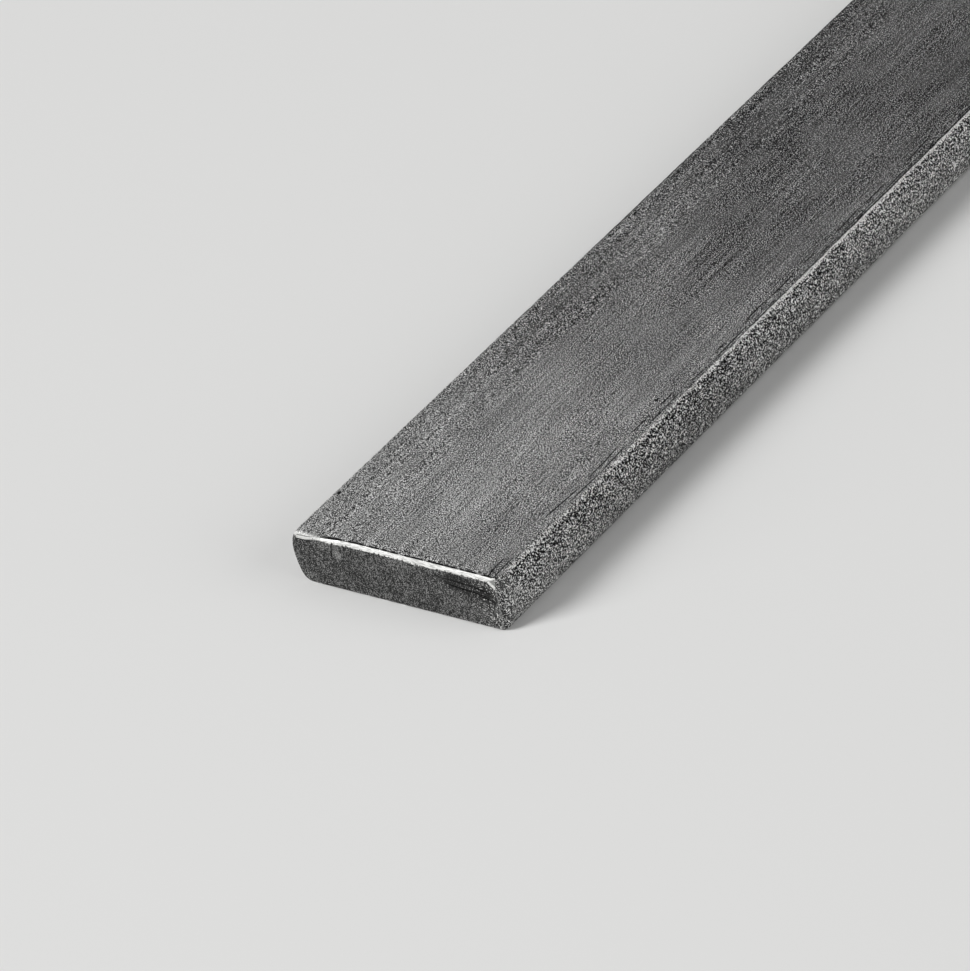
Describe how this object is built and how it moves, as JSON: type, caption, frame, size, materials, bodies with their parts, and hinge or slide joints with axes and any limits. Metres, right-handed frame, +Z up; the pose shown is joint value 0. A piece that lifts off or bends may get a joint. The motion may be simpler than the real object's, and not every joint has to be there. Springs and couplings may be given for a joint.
{
  "type": "metal flat bar",
  "caption": "Hot-rolled steel flat bar with convex rolled sides and a filed bevel across one sawn end, for framing, brackets and straps.",
  "frame": {"origin": "on the underside, at the middle of the bar's length and width", "axes": "+X along the bar, away from the end with the filed bevel; +Y across the bar; +Z up through its thickness"},
  "size_m": [1, 0.025, 0.006],
  "materials": {
    "mill_scale": "hot-rolled, dark mill scale, matte to satin"
  },
  "bodies": {
    "root": {"flat_bar": "mill_scale"}
  },
  "joints": []
}
